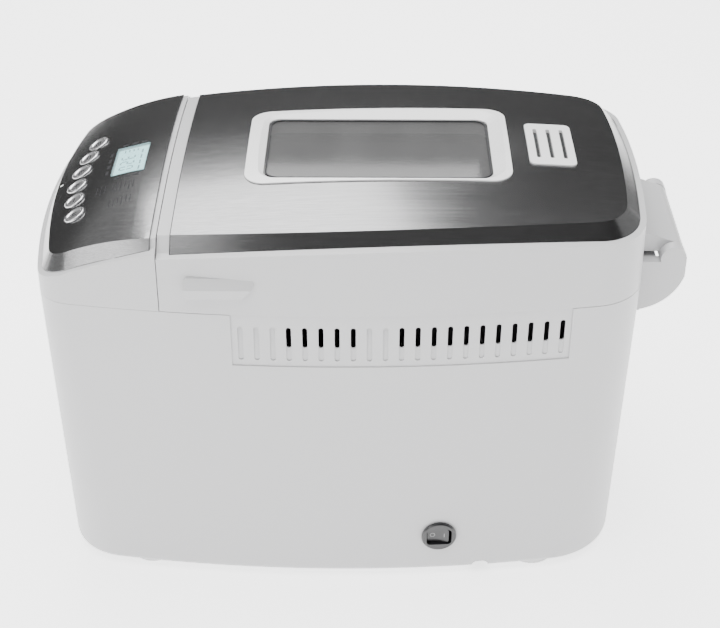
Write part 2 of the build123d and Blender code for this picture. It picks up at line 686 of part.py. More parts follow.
def panel_block(rear, step):
    return folded_block(PANEL_ARC, PANEL_ENDS, (-230, rear), PANEL_EDGE, step)


def lid_block(front, step):
    return folded_block(LID_ARC, LID_ENDS, (front, 230), LID_EDGE, step)


def hollow(arc, rim_arc, ends, edge, span):
    """The inside of a top moulding: under its rim, and higher between the folds."""
    box = region(-140, 140, span[0], span[1], SEAM_Z - 5, 300)
    low = tub(SEAM_Z, SEAM_Z + 65, WALL) & crowned(rim_arc, ends, WALL)
    high = tub(SEAM_Z, SEAM_Z + 65, edge[0] + edge[1] + WALL) & crowned(arc, ends, SKIN + TOP_WALL)
    return (low + high) & box


def control_housing():
    rear = LID_FRONT_Y - SPLIT_GAP / 2
    shell = tub(SEAM_Z, SEAM_Z + 60) & region(-140, 140, -230, rear, SEAM_Z, 300)
    shell &= crowned(PANEL_RIM_ARC, PANEL_ENDS)
    shell += panel_block(rear, SKIN)
    shell -= hollow(PANEL_ARC, PANEL_RIM_ARC, PANEL_ENDS, PANEL_EDGE, (-230, rear - WALL))
    for cutter in panel_openings(0.6):
        shell -= cutter
    return shell


def control_fascia():
    skin = panel_block(FASCIA_Y, 0) - panel_block(FASCIA_Y, SKIN)
    skin -= crowned(PANEL_RIM_ARC, PANEL_ENDS)
    for cutter in panel_openings(0.4):
        skin -= cutter
    return skin


def button(x, y):
    frame = panel_frame(x, y, BUTTON_ANGLE)
    cap = extrude(frame.offset(-BUTTON_DEEP) * Circle(BUTTON_R), BUTTON_DEEP + BUTTON_PROUD)
    top = cap.faces().sort_by(Axis((0, 0, 0), frame.z_dir))[-1]
    cap = fillet(top.edges(), 0.9)
    return cap


def lcd_lens():
    x, y, width, length = LCD
    frame = panel_frame(x, y, panel_slope(y)).offset(-1.4)
    return extrude(frame * Rectangle(width, length), 1.5)


def lcd_module():
    x, y, width, length = LCD
    frame = panel_frame(x, y, panel_slope(y)).offset(-6.5)
    return extrude(frame * Rectangle(width - 1, length - 1), 5)


def status_led():
    x, y, half, reach = LED
    frame = panel_frame(x, y, panel_slope(y)).offset(-5)
    return extrude(frame * RectangleRounded(2 * half, 2 * reach, 0.6), 5.2)


def control_board():
    """The board under the panel, with a small switch below each button."""
    y = -163.0
    frame = panel_frame(0, y, BOARD_ANGLE).offset(-16.5)
    board = extrude(frame * RectangleRounded(124, 58, 3), 1.6)
    for bx, by in button_spots():
        spot = panel_frame(bx, by, BUTTON_ANGLE).offset(-BUTTON_DEEP - 1.3)
        drop = extrude(spot * Rectangle(6, 6), -8)
        board += drop & extrude(frame * Rectangle(124, 70), 12)
    return board


def power_board():
    x = -80.0
    board = region(x, x + 1.6, -176, -122, 60, 170)
    board += region(x + 1.6, x + 20, -172, -156, 70, 95)
    board += region(x + 1.6, x + 16, -146, -130, 66, 84)
    board += Pos(x + 10, -142, 130) * Rot(0, 90, 0) * Cylinder(9, 18)
    board += region(x + 1.6, x + 14, -174, -158, 110, 126)
    return board


def transformer():
    core = region(48, 80, -176, -136, CHASSIS_Z + CHASSIS + 20, CHASSIS_Z + CHASSIS + 50)
    core += region(44, 84, -168, -144, CHASSIS_Z + CHASSIS + 24, CHASSIS_Z + CHASSIS + 46)
    for x in (54, 74):
        core += region(x - 4, x + 4, -160, -152, CHASSIS_Z + CHASSIS, CHASSIS_Z + CHASSIS + 25)
    return core


# ---------------------------------------------------------------- lid
def lid_region(grow=0.0):
    return region(-140, 140, LID_FRONT_Y + SPLIT_GAP / 2 + grow, 200, SEAM_Z, 300)


def window_outline(inset, end=0.0):
    """The window frame's outline moved in by inset, and by end more at the front and back."""
    y0, y1, half = WINDOW
    corner = max(WINDOW_CORNER - inset * 0.6, 4)
    return Pos(0, (y0 + y1) / 2) * RectangleRounded(2 * (half - inset), y1 - y0 - 2 * (inset + end), corner)


def window_prism(inset, z0, z1, end=0.0):
    return Pos(0, 0, z0) * extrude(window_outline(inset, end), z1 - z0)


def grille_prism(grow, z0, z1):
    y0, y1, half = GRILLE
    return rounded_prism(0, (y0 + y1) / 2, 2 * (half + grow), y1 - y0 + 2 * grow, z0, z1, 4)


def finger_lip(side):
    """The lip that lifts the lid: square at one end, slanted at the other, sloping up to the wall."""
    y0, y1, z0, z1 = GRIP
    x = side_x((y0 + y1) / 2, SEAM_Z) - 3
    face = Plane(origin=(side * x, 0, 0), x_dir=(0, 1, 0), z_dir=(side, 0, 0))
    outline = make_face(Polyline((y0, side * z0), (y1 - 7, side * z0), (y1, side * (z0 + 7)),
                                 (y1, side * z1), (y0, side * z1), close=True))
    lip = extrude(face * outline, GRIP_REACH + 3)
    lip = fillet(lip.edges().filter_by(Axis.X), 2)
    slope = Plane.XZ * make_face(Polyline((side * (x + 2), z1 + 1), (side * (x + 9), z1 + 1),
                                          (side * (x + 9), z0 + 3), close=True))
    return lip - Pos(0, y1 + 5, 0) * extrude(slope, y1 - y0 + 10)


def lid_shell():
    front = LID_FRONT_Y + SPLIT_GAP / 2
    shell = tub(SEAM_Z + SEAM_GAP / 2, SEAM_Z + 65) & lid_region()
    shell &= crowned(LID_RIM_ARC, LID_ENDS)
    shell += lid_block(front, SKIN)
    shell -= hollow(LID_ARC, LID_RIM_ARC, LID_ENDS, LID_EDGE, (front + WALL, 230))
    shell -= window_prism(1.2, 240, 290)
    shell -= grille_prism(-2, 240, 290)
    for side in (-1, 1):
        shell += finger_lip(side)
    return shell


def lid_top_plate():
    skin = lid_block(LID_SKIN_Y, 0) - grille_prism(-1, 240, 290) - window_prism(0.6, 240, 290)
    skin -= lid_block(LID_SKIN_Y, SKIN)
    return skin - crowned(LID_RIM_ARC, LID_ENDS)


def window_bezel():
    """The window's dished frame: proud of the skin outside, falling to the glass inside."""
    glass_top = GLASS_Z + GLASS
    ring = window_prism(0, 240, 290) & crowned(LID_ARC, LID_ENDS, -WINDOW_PROUD, WINDOW_PROUD)
    ring += window_prism(1.4, 257, 290) & crowned(LID_ARC, LID_ENDS, -WINDOW_PROUD, 30)
    ring -= window_prism(WINDOW_BAND, 240, 290, WINDOW_END)
    ring -= window_prism(WINDOW_BAND - 4, GLASS_Z - 0.1, glass_top + 0.1, WINDOW_END)
    floor = Pos(0, 0, glass_top + 0.9) * window_outline(WINDOW_BAND, WINDOW_END)
    return ring - extrude(floor, DISH_RISE, taper=-DISH_SLOPE)


def outer_glass():
    return window_prism(WINDOW_BAND - 3.8, GLASS_Z, GLASS_Z + GLASS, WINDOW_END)


def inner_glass():
    return window_prism(WINDOW_BAND - 3, LINER_TOP, LINER_TOP + 3, WINDOW_END)


def vent_grille():
    """The steam vent: a plate with three slots, proud of the skin, over a short duct."""
    y0, y1, half = GRILLE
    flat = top_z(LID_ARC, half, (y0 + y1) / 2)
    plate = grille_prism(0, flat - 8, 290) & crowned(LID_ARC, LID_ENDS, -0.9, 40)
    rim = grille_prism(2, flat - 20, 290) - grille_prism(-2.2, flat - 21, 291)
    plate -= rim & crowned(LID_ARC, LID_ENDS, 0, 40)
    slots = []
    for y in GRILLE_SLOT_Y:
        slots.append(rounded_prism(0, y, GRILLE_SLOT[0], GRILLE_SLOT[1], flat - 20, flat + 20, 1.2))
    return plate - slots


def lid_liner():
    """The drawn inner cover of the lid, domed over the chamber."""
    y = CHAMBER_Y
    tray = rounded_prism(0, y, LINER_WIDTH, LINER_LENGTH, LINER_BOTTOM, LINER_TOP, 20)
    tray = fillet(tray.edges().group_by(Axis.Z)[-1], 6)
    hollow = rounded_prism(0, y, LINER_WIDTH - 2, LINER_LENGTH - 2, LINER_BOTTOM - 5, LINER_TOP - 1, 19)
    hollow = fillet(hollow.edges().group_by(Axis.Z)[-1], 5)
    flange = tub(LINER_BOTTOM, LINER_BOTTOM + 1, WALL + CLEAR) & lid_region(WALL + CLEAR)
    tray = tray + flange - hollow
    tray -= window_prism(WINDOW_BAND + 1, 240, 260, WINDOW_END)
    for x in (-16, -8, 0, 8, 16):
        tray -= rod(x, 118, 240, 260, 2.2)
    return tray


def lid_gasket():
    outer = rounded_prism(0, CHAMBER_Y, LINER_WIDTH + 14, LINER_LENGTH + 14, DECK_TOP + 1.1, LINER_BOTTOM, 27)
    return outer - rounded_prism(0, CHAMBER_Y, LINER_WIDTH + 4, LINER_LENGTH + 4, 200, 230, 22)


def hinge_arm():
    """The broad knuckle that carries the lid: a barrel, and a slab to the lid's back wall."""
    half = EAR_IN - CLEAR
    barrel = Pos(0, HINGE_Y, HINGE_Z) * Rot(0, 90, 0) * Cylinder(BARREL - 0.2, 2 * half)
    outline = Plane.YZ * make_face(Polyline(
        (REAR_Y - 3, HINGE_Z + 17.0), (HINGE_Y + 1.5, HINGE_Z + BARREL - 0.3),
        (HINGE_Y, HINGE_Z), (HINGE_Y - 8, HINGE_Z + 1.5), (REAR_Y - 3, HINGE_Z + 1.5), close=True))
    slab = Pos(-half, 0, 0) * extrude(outline, 2 * half)
    slab -= tub(SEAM_Z, SEAM_Z + 65)
    arm = barrel + slab
    for side in (-1, 1):
        arm -= Pos(side * (half - 6), HINGE_Y, HINGE_Z) * Rot(0, 90, 0) * Cylinder(PIN + PIN_FIT, 14)
    return arm


def hinge_bracket():
    """The two ears and the plate that joins them, screwed to the back wall."""
    low = HINGE_Z - 38.0
    edges = [
        Line((REAR_Y - 6, HINGE_Z - 2), (HINGE_Y - 7.5, HINGE_Z - 2)),
        ThreePointArc((HINGE_Y - 7.5, HINGE_Z - 2), (HINGE_Y, HINGE_Z + BARREL),
                      (HINGE_Y + BARREL, HINGE_Z)),
        Line((HINGE_Y + BARREL, HINGE_Z), (HINGE_Y + BARREL, HINGE_Z - 12)),
        ThreePointArc((HINGE_Y + BARREL, HINGE_Z - 12), (HINGE_Y - 3, HINGE_Z - 30),
                      (REAR_Y - 6, low)),
        Line((REAR_Y - 6, low), (REAR_Y - 6, HINGE_Z - 2)),
    ]
    outline = Plane.YZ * make_face(edges)
    ears = Pos(EAR_IN, 0, 0) * extrude(outline, EAR_OUT - EAR_IN)
    bracket = ears + Pos(-EAR_OUT - EAR_IN, 0, 0) * ears
    bracket += region(-EAR_OUT, EAR_OUT, REAR_Y - 8, REAR_Y + 3, low, SEAM_Z - 6)
    bracket += region(-EAR_OUT, EAR_OUT, REAR_Y - 8, HINGE_Y - 9.5, HINGE_Z - 18, HINGE_Z - 2.5)
    bracket -= tub(SEAM_Z - 80, SEAM_Z)
    for side in (-1, 1):
        spot = Pos(side * (EAR_OUT - EAR_SKIN - 10), HINGE_Y, HINGE_Z) * Rot(0, 90, 0)
        bracket -= spot * Cylinder(PIN, 20)
    return bracket


def hinge_pins():
    group = []
    for side in (-1, 1):
        centre = side * (EAR_OUT - EAR_SKIN - 9.2)
        group.append(Pos(centre, HINGE_Y, HINGE_Z) * Rot(0, 90, 0) * Cylinder(PIN, 18))
    return Compound(group)


def lid_screws():
    group = []
    for x in (-97, 97):
        for y in (-70, 20, 100):
            head = rod(x, y, LINER_BOTTOM - 1.2, LINER_BOTTOM, 3.2)
            group.append(head)
    return Compound(group)


def main():
    os.makedirs("parts", exist_ok=True)
    save("base_housing", base_housing())
    save("bottom_plate", bottom_plate())
    save("feet", feet())
    save("deck_frame", deck_frame())
    save("chassis_plate", chassis_plate())
    save("housing_screws", housing_screws())
    save("cord_gland", cord_gland())
    bezel, rocker = switch_parts()
    save("switch_bezel", bezel)
    save("switch_rocker", rocker)
    save("chamber_liner", chamber_liner())
    save("heating_element", heating_element())
    save("element_insulators", element_insulators())
    save("element_clips", element_clips())
    save("temperature_sensor", temperature_sensor())
    save("thermal_fuse", thermal_fuse())
    save("heat_shield", heat_shield())
    save("motor", motor())
    save("motor_pulley", motor_pulley())
    save("motor_fan", motor_fan())
    save("motor_belt", belt(MOTOR_Y, SMALL_R, SPINDLE_Y[0], LARGE_R, DRIVE_Z))
    save("link_belt", belt(SPINDLE_Y[0], LINK_R, SPINDLE_Y[1], LINK_R, LINK_Z + 0.5))
    save("spindle_bearings", spindle_bearings())
    for name, y in zip(("front", "rear"), SPINDLE_Y):
        save(name + "_spindle", spindle(y))
        save(name + "_pulley", drive_pulley(y, name == "front"))
        save(name + "_pan_shaft", pan_shaft(y))
        save(name + "_paddle", paddle(y))
    save("bread_pan", bread_pan())
    save("pan_bushes", pan_bushes())
    save("pan_handle", pan_handle())
    save("control_housing", control_housing())
    save("control_fascia", control_fascia())
    for name, spot in zip(BUTTONS, button_spots()):
        save(name, button(*spot))
    save("lcd_lens", lcd_lens())
    save("lcd_module", lcd_module())
    save("status_led", status_led())
    save("control_board", control_board())
    save("power_board", power_board())
    save("transformer", transformer())
    save("lid_shell", lid_shell())
    save("lid_top_plate", lid_top_plate())
    save("window_bezel", window_bezel())
    save("outer_glass", outer_glass())
    save("inner_glass", inner_glass())
    save("vent_grille", vent_grille())
    save("lid_liner", lid_liner())
    save("lid_gasket", lid_gasket())
    save("lid_screws", lid_screws())
    save("hinge_arm", hinge_arm())
    save("hinge_bracket", hinge_bracket())
    save("hinge_pins", hinge_pins())


main()
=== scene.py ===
import math

import bmesh
import bpy
from mathutils import Matrix, Vector
from mathutils.bvhtree import BVHTree


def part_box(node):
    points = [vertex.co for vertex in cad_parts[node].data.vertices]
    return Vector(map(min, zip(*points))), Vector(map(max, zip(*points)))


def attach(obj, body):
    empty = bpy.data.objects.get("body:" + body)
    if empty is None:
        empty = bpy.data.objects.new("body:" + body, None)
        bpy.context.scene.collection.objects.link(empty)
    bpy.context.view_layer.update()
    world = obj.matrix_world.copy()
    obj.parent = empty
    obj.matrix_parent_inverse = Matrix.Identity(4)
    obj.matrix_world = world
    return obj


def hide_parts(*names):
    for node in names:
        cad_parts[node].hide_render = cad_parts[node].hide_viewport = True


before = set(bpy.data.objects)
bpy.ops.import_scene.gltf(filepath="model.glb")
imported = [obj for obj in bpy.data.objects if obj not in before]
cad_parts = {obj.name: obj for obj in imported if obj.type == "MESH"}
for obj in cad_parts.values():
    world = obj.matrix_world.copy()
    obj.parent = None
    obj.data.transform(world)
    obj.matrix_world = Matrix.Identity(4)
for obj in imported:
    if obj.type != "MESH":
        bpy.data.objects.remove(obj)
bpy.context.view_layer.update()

MM = 0.001

# The camera and what it looks at, in millimetres in the machine's own frame.
CAMERA_AT = Vector((881.5, 5.9, 722.8)) * MM
CAMERA_LOOKS_AT = Vector((0.0, -1.83, 140.73)) * MM
CAMERA_LENS = 77.7
CAMERA_SENSOR = 36.0


# ------------------------------------------------------------------ shader maths
class Value:
    """A socket that adds, takes away and multiplies by making Math nodes."""

    def __init__(self, finish, socket):
        self.finish = finish
        self.socket = socket

    def _math(self, operation, a, b):
        return self.finish.node("ShaderNodeMath", {"operation": operation}, {0: a, 1: b})

    def __add__(self, other):
        return self._math("ADD", self, other)

    __radd__ = __add__

    def __sub__(self, other):
        return self._math("SUBTRACT", self, other)

    def __rsub__(self, other):
        return self._math("SUBTRACT", other, self)

    def __mul__(self, other):
        return self._math("MULTIPLY", self, other)

    __rmul__ = __mul__


class Finish:
    """A material under construction, with its shader and one way to add any other node."""

    def __init__(self, name, **constants):
        self.material = bpy.data.materials.new(name)
        self.material.use_nodes = True
        self.tree = self.material.node_tree
        self.shader = self.tree.nodes["Principled BSDF"]
        for socket, value in constants.items():
            self.shader.inputs[socket.replace("_", " ")].default_value = value

    def node(self, kind, settings, inputs, output=0):
        made = self.tree.nodes.new(kind)
        for key, value in settings.items():
            if key == "stops":
                ramp = made.color_ramp
                while len(ramp.elements) < len(value):
                    ramp.elements.new(0.5)
                for element, (place, colour) in zip(ramp.elements, value):
                    element.position = place
                    element.color = colour
            else:
                setattr(made, key, value)
        for key, value in inputs.items():
            if isinstance(value, Value):
                self.tree.links.new(value.socket, made.inputs[key])
            else:
                made.inputs[key].default_value = value
        return Value(self, made.outputs[output])

    def place(self, stretch=(1, 1, 1)):
        """Object coordinates, stretched along each axis."""
        where = self.node("ShaderNodeTexCoord", {}, {}, "Object")
        return self.node("ShaderNodeMapping", {}, {"Vector": where, "Scale": stretch})

    def noise(self, scale, detail=2.0, stretch=(1, 1, 1)):
        return self.node("ShaderNodeTexNoise", {}, {"Vector": self.place(stretch), "Scale": scale,
                                                    "Detail": detail})

    def blend(self, factor, a, b):
        """A colour between a and b."""
        return self.node("ShaderNodeMix", {"data_type": "RGBA"}, {0: factor, 6: a, 7: b}, 2)

    def ramp(self, factor, *stops):
        return self.node("ShaderNodeValToRGB", {"stops": stops}, {"Fac": factor})

    def bump(self, height, strength, distance):
        return self.node("ShaderNodeBump", {}, {"Height": height, "Strength": strength,
                                                "Distance": distance})

    def feed(self, **links):
        for socket, value in links.items():
            self.tree.links.new(value.socket, self.shader.inputs[socket.replace("_", " ")])
        return self.material


def grey(level):
    return (level, level, level, 1.0)


def shade(colour, factor, lift=0.0):
    """The colour made darker or lighter, and no brighter than white."""
    return tuple(min(channel * factor + lift, 1.0) for channel in colour[:3]) + (1.0,)


def moulded(name, colour, roughness, grain=0.25, coat=0.0):
    """Injection-moulded plastic: a faint cloudiness, a fine texture and uneven sheen."""
    finish = Finish(name, Coat_Weight=coat, Coat_Roughness=0.12, IOR=1.49)
    cloud = finish.noise(14.0, 3.0)
    fine = finish.noise(2600.0, 2.0)
    base = finish.blend(cloud, shade(colour, 0.96), colour)
    rough = roughness + (cloud - 0.5) * 0.06 + (fine - 0.5) * 0.05
    return finish.feed(Base_Color=base, Roughness=rough, Normal=finish.bump(fine, grain, 0.00005))


def brushed(name, dark, light, roughness, across=1500.0, along=9.0):
    """Sheet metal brushed along Y: long fine streaks in colour, roughness and relief."""
    finish = Finish(name, Metallic=1.0)
    fine = finish.noise(1.0, 2.0, (across, along, across))
    broad = finish.noise(1.0, 2.0, (across * 0.2, along * 0.5, across * 0.2))
    streak = fine * 0.75 + broad * 0.25
    base = finish.ramp(streak, (0.25, dark), (0.75, light))
    rough = roughness + (streak - 0.5) * 0.06
    return finish.feed(Base_Color=base, Roughness=rough, Normal=finish.bump(fine, 0.03, 0.00004))


def plated(name, colour, roughness=0.3, spangle=60.0):
    """Zinc-plated or bare sheet: soft patches and a slight haze."""
    finish = Finish(name, Metallic=1.0)
    patches = finish.node("ShaderNodeTexVoronoi", {}, {"Vector": finish.place(), "Scale": spangle},
                          "Distance")
    haze = finish.noise(35.0, 4.0)
    base = finish.blend(patches * 0.5 + haze * 0.5, shade(colour, 0.8), colour)
    return finish.feed(Base_Color=base, Roughness=roughness + haze * 0.15,
                       Normal=finish.bump(haze, 0.05, 0.0002))


def coated(name, colour, speck, roughness=0.42):
    """Non-stick or enamel coating with a fine speckle."""
    finish = Finish(name, Metallic=0.0, Coat_Weight=0.15, Coat_Roughness=0.3)
    dots = finish.noise(900.0, 2.0)
    mask = finish.ramp(dots, (0.60, grey(0.0)), (0.68, grey(1.0)))
    cloud = finish.noise(18.0, 3.0)
    base = finish.blend(mask * 0.5 + cloud * 0.1, colour, speck)
    return finish.feed(Base_Color=base, Roughness=roughness + cloud * 0.08,
                       Normal=finish.bump(dots, 0.12, 0.00008))


def rubbery(name, colour):
    """Rubber or silicone, with a little dust on it."""
    finish = Finish(name, IOR=1.5)
    dust = finish.noise(120.0, 4.0)
    return finish.feed(Base_Color=finish.blend(dust * 0.6, colour, shade(colour, 1.3, 0.01)),
                       Roughness=0.7 + dust * 0.15, Normal=finish.bump(dust, 0.2, 0.0001))


def window_pane(name, tint, alpha):
    """Tinted glass: mostly see-through, with faint smears that show in its gloss."""
    finish = Finish(name, IOR=1.5, Specular_IOR_Level=0.8)
    smear = finish.noise(9.0, 4.0, (1, 3, 1))
    base = finish.blend(smear * 0.3, tint, grey(0.3))
    rough = 0.03 + smear * 0.05
    veil = alpha + (smear - 0.5) * 0.06
    finish.material.surface_render_method = "BLENDED"
    return finish.feed(Base_Color=base, Roughness=rough, Alpha=veil)


def board_green(name):
    """A circuit board's lacquer over rows of copper tracks."""
    finish = Finish(name, Coat_Weight=0.3)
    tracks = finish.node("ShaderNodeTexBrick", {}, {
        "Vector": finish.place(), "Scale": 55.0, "Mortar Size": 0.03,
        "Color1": (0.02, 0.13, 0.05, 1), "Color2": (0.025, 0.16, 0.06, 1),
        "Mortar": (0.05, 0.26, 0.1, 1)})
    haze = finish.noise(200.0)
    return finish.feed(Base_Color=tracks, Roughness=0.35 + haze * 0.1)


def lit_panel(name, colour):
    """The display's backlit glass."""
    finish = Finish(name, Emission_Strength=0.35, Coat_Weight=0.6, Coat_Roughness=0.05)
    cloud = finish.noise(60.0, 2.0)
    base = finish.blend(cloud, colour, shade(colour, 1.12))
    return finish.feed(Base_Color=base, Emission_Color=base, Roughness=0.3 + cloud * 0.1)


def printed(name, colour):
    """Screen-printed ink, a little worn."""
    finish = Finish(name, Specular_IOR_Level=0.15)
    wear = finish.noise(1500.0, 3.0)
    base = finish.blend(wear * 0.5, colour, shade(colour, 1.5, 0.02))
    return finish.feed(Base_Color=base, Roughness=0.5 + wear * 0.1)


WHITE = moulded("white_shell", (0.47, 0.47, 0.475, 1), 0.40, 0.2, 0.15)
WHITE_GLOSS = moulded("white_trim", (0.80, 0.80, 0.80, 1), 0.28, 0.08, 0.35)
STEEL = brushed("brushed_skin", (0.19, 0.19, 0.192, 1), (0.26, 0.26, 0.262, 1), 0.20)
BLACK = moulded("black_switch", (0.012, 0.012, 0.013, 1), 0.30, 0.3, 0.3)
DARK = moulded("dark_moulding", (0.035, 0.035, 0.038, 1), 0.5, 0.4)
TURNED = brushed("turned_steel", (0.42, 0.42, 0.43, 1), (0.66, 0.66, 0.67, 1), 0.25, 900.0, 900.0)
ZINC = plated("zinc_sheet", (0.62, 0.63, 0.65, 1))
LINER = plated("chamber_sheet", (0.42, 0.42, 0.43, 1), 0.42, 25.0)
NONSTICK = coated("nonstick", (0.028, 0.028, 0.03, 1), (0.12, 0.12, 0.12, 1))
ELEMENT = plated("element_tube", (0.30, 0.27, 0.24, 1), 0.5, 90.0)
CERAMIC = moulded("glazed_insulator", (0.78, 0.75, 0.68, 1), 0.25, 0.1, 0.5)
BRASS = plated("brass", (0.72, 0.52, 0.24, 1), 0.28, 80.0)
RUBBER = rubbery("black_rubber", (0.018, 0.018, 0.02, 1))
SILICONE = rubbery("grey_silicone", (0.36, 0.35, 0.34, 1))
FEET = moulded("foot_moulding", (0.62, 0.62, 0.62, 1), 0.5, 0.3)
PANE = window_pane("window_pane", (0.06, 0.06, 0.06, 1), 0.55)
INNER_PANE = window_pane("inner_pane", (0.2, 0.2, 0.21, 1), 0.25)
LENS = window_pane("display_lens", (0.55, 0.85, 0.88, 1), 0.25)
BOARD = board_green("circuit_board")
DISPLAY = lit_panel("display_glass", (0.55, 0.86, 0.88, 1))
LAMP = lit_panel("lamp_diffuser", (0.82, 0.86, 0.82, 1))
CHROME = plated("button_ring", (0.86, 0.86, 0.87, 1), 0.22, 300.0)
BUTTON_FACE = moulded("button_face", (0.42, 0.43, 0.43, 1), 0.45, 0.6)
INK = printed("panel_ink", (0.02, 0.02, 0.022, 1))
PALE_INK = printed("switch_ink", (0.30, 0.30, 0.30, 1))
SEGMENT = printed("display_segment", (0.05, 0.07, 0.09, 1))

NODE_FINISHES = {
    WHITE: ("base_housing", "control_housing", "lid_shell", "hinge_arm", "hinge_bracket",
            "deck_frame", "bottom_plate"),
    WHITE_GLOSS: ("window_bezel", "vent_grille"),
    STEEL: ("lid_top_plate", "control_fascia"),
    BLACK: ("switch_bezel", "switch_rocker"),
    DARK: ("cord_gland", "motor_fan", "spindle_bearings", "front_pulley", "rear_pulley",
           "transformer"),
    TURNED: ("motor_pulley", "front_spindle", "rear_spindle", "front_pan_shaft", "rear_pan_shaft",
             "pan_handle", "hinge_pins", "housing_screws", "lid_screws", "temperature_sensor"),
    ZINC: ("chassis_plate", "heat_shield", "element_clips", "motor"),
    LINER: ("chamber_liner", "lid_liner"),
    NONSTICK: ("bread_pan", "front_paddle", "rear_paddle"),
    ELEMENT: ("heating_element",),
    CERAMIC: ("element_insulators", "thermal_fuse"),
    BRASS: ("pan_bushes",),
    RUBBER: ("motor_belt", "link_belt"),
    SILICONE: ("lid_gasket",),
    FEET: ("feet",),
    PANE: ("outer_glass",),
    INNER_PANE: ("inner_glass",),
    LENS: ("lcd_lens",),
    BOARD: ("control_board", "power_board"),
    DISPLAY: ("lcd_module",),
    LAMP: ("status_led",),
    CHROME: ("start_stop_button", "time_down_button", "time_up_button", "loaf_size_button",
             "crust_button", "menu_button"),
}


def dress(thing, material):
    thing.data.materials.clear()
    thing.data.materials.append(material)


for material, names in NODE_FINISHES.items():
    for name in names:
        dress(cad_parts[name], material)


# ------------------------------------------------------------------ making pieces
def add_mesh(name, mesh_bm):
    mesh = bpy.data.meshes.new(name)
    mesh_bm.to_mesh(mesh)
    mesh_bm.free()
    thing = bpy.data.objects.new(name, mesh)
    bpy.context.scene.collection.objects.link(thing)
    return thing


def finished(name, mesh_bm, material, body):
    """A piece from the mesh, in its material and on its body."""
    piece = add_mesh(name, mesh_bm)
    dress(piece, material)
    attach(piece, body)
    return piece


def add_bar(mesh_bm, centre, normal, along, length, width, thick):
    """One thin raised mark, lying on a surface."""
    along = (along - normal * along.dot(normal)).normalized()
    turn = Matrix((along, normal.cross(along), normal)).transposed().to_4x4()
    size = Matrix.Diagonal((length, width, thick, 1))
    bmesh.ops.create_cube(mesh_bm, size=1.0, matrix=Matrix.Translation(centre) @ turn @ size)


def rounded_loop(low, high, inset, corner, z, steps=10):
    """Points round a rounded rectangle, in metres."""
    points = []
    corners = ((high.x, high.y, 0), (low.x, high.y, 1), (low.x, low.y, 2), (high.x, low.y, 3))
    radius = corner - inset
    for x, y, quarter in corners:
        side_x = 1 if quarter in (0, 3) else -1
        side_y = 1 if quarter in (0, 1) else -1
        for i in range(steps + 1):
            angle = math.pi / 2 * (quarter + i / steps)
            points.append(Vector((x - side_x * corner + radius * math.cos(angle),
                                  y - side_y * corner + radius * math.sin(angle), z)))
    return points


def closed_band(mesh_bm, rings):
    """Faces between closed rings of points, the last joined back to the first."""
    made = [[mesh_bm.verts.new(point) for point in ring] for ring in rings]
    count = len(made[0])
    for ring, following in zip(made, made[1:] + made[:1]):
        for i in range(count):
            j = (i + 1) % count
            mesh_bm.faces.new((ring[i], ring[j], following[j], following[i]))


# ------------------------------------------------------------------ buttons
KEYS = {"start_stop_button": "start_stop_key", "time_down_button": "time_down_key",
        "time_up_button": "time_up_key", "loaf_size_button": "loaf_size_key",
        "crust_button": "crust_key", "menu_button": "menu_key"}
BUTTON_LEAN = math.radians(28.0)
CAP_SET_BACK = 0.5 * MM
CAP_DEPTH = 5.0
FACE_RADIUS = 4.8
# Radius and height of each corner of a cap's half section, in millimetres, from the middle out.
CAP_PROFILE = ((0.0, -0.35), (2.4, -0.42), (4.3, -0.62), (FACE_RADIUS, -0.70), (5.1, -0.12),
               (5.4, 0.0), (6.2, 0.0), (6.8, -0.18), (7.1, -0.55), (7.2, -1.1), (7.2, -CAP_DEPTH),
               (0.0, -CAP_DEPTH))
SYMBOL_DEPTH = 0.43
SYMBOL_THICK = 0.16
# Bars of each button's symbol, in millimetres on its face: x, y, length, width, turned.
SYMBOLS = {
    "start_stop_button": ((-1.1, 0, 3.2, 0.8, True), (1.1, 0, 3.2, 0.8, True)),
    "time_down_button": ((0, 0, 4.4, 0.9, False),),
    "time_up_button": ((0, 0, 4.4, 0.9, False), (0, 1.35, 1.75, 0.9, True), (0, -1.35, 1.75, 0.9, True)),
    "loaf_size_button": ((0, 1.6, 1.8, 0.8, False), (0, 0, 3.2, 0.8, False), (0, -1.6, 4.6, 0.8, False)),
    "crust_button": ((0, 1.0, 4.4, 0.8, False), (0, -1.0, 4.4, 0.8, False)),
    "menu_button": ((0, 1.5, 4.2, 0.7, False), (0, 0, 4.2, 0.7, False), (0, -1.5, 4.2, 0.7, False)),
}


def button_frame(node):
    """A frame on a button's face: X across the machine, Y up the slope and Z outward."""
    across = Vector((1, 0, 0))
    up_slope = Vector((0, math.cos(BUTTON_LEAN), math.sin(BUTTON_LEAN)))
    outward = Vector((0, -math.sin(BUTTON_LEAN), math.cos(BUTTON_LEAN)))
    points = [vertex.co for vertex in node.data.vertices]
    place = outward * (max(outward.dot(point) for point in points) - CAP_SET_BACK)
    for way in (across, up_slope):
        reach = [way.dot(point) for point in points]
        place += way * (max(reach) + min(reach)) / 2
    turn = Matrix((across, up_slope, outward)).transposed().to_4x4()
    return Matrix.Translation(place) @ turn


def turned_cap(mesh_bm, on):
    """Turn the cap's half section about Z of the frame it stands on."""
    verts = [mesh_bm.verts.new(on @ (Vector((radius, 0, height)) * MM)) for radius, height in CAP_PROFILE]
    edges = [mesh_bm.edges.new(pair) for pair in zip(verts, verts[1:])]
    bmesh.ops.spin(mesh_bm, geom=verts + edges, cent=on.translation, axis=on.to_3x3().col[2],
                   angle=math.tau, steps=64, use_merge=True)
    bmesh.ops.remove_doubles(mesh_bm, verts=mesh_bm.verts, dist=0.002 * MM)
    bmesh.ops.recalc_face_normals(mesh_bm, faces=mesh_bm.faces)


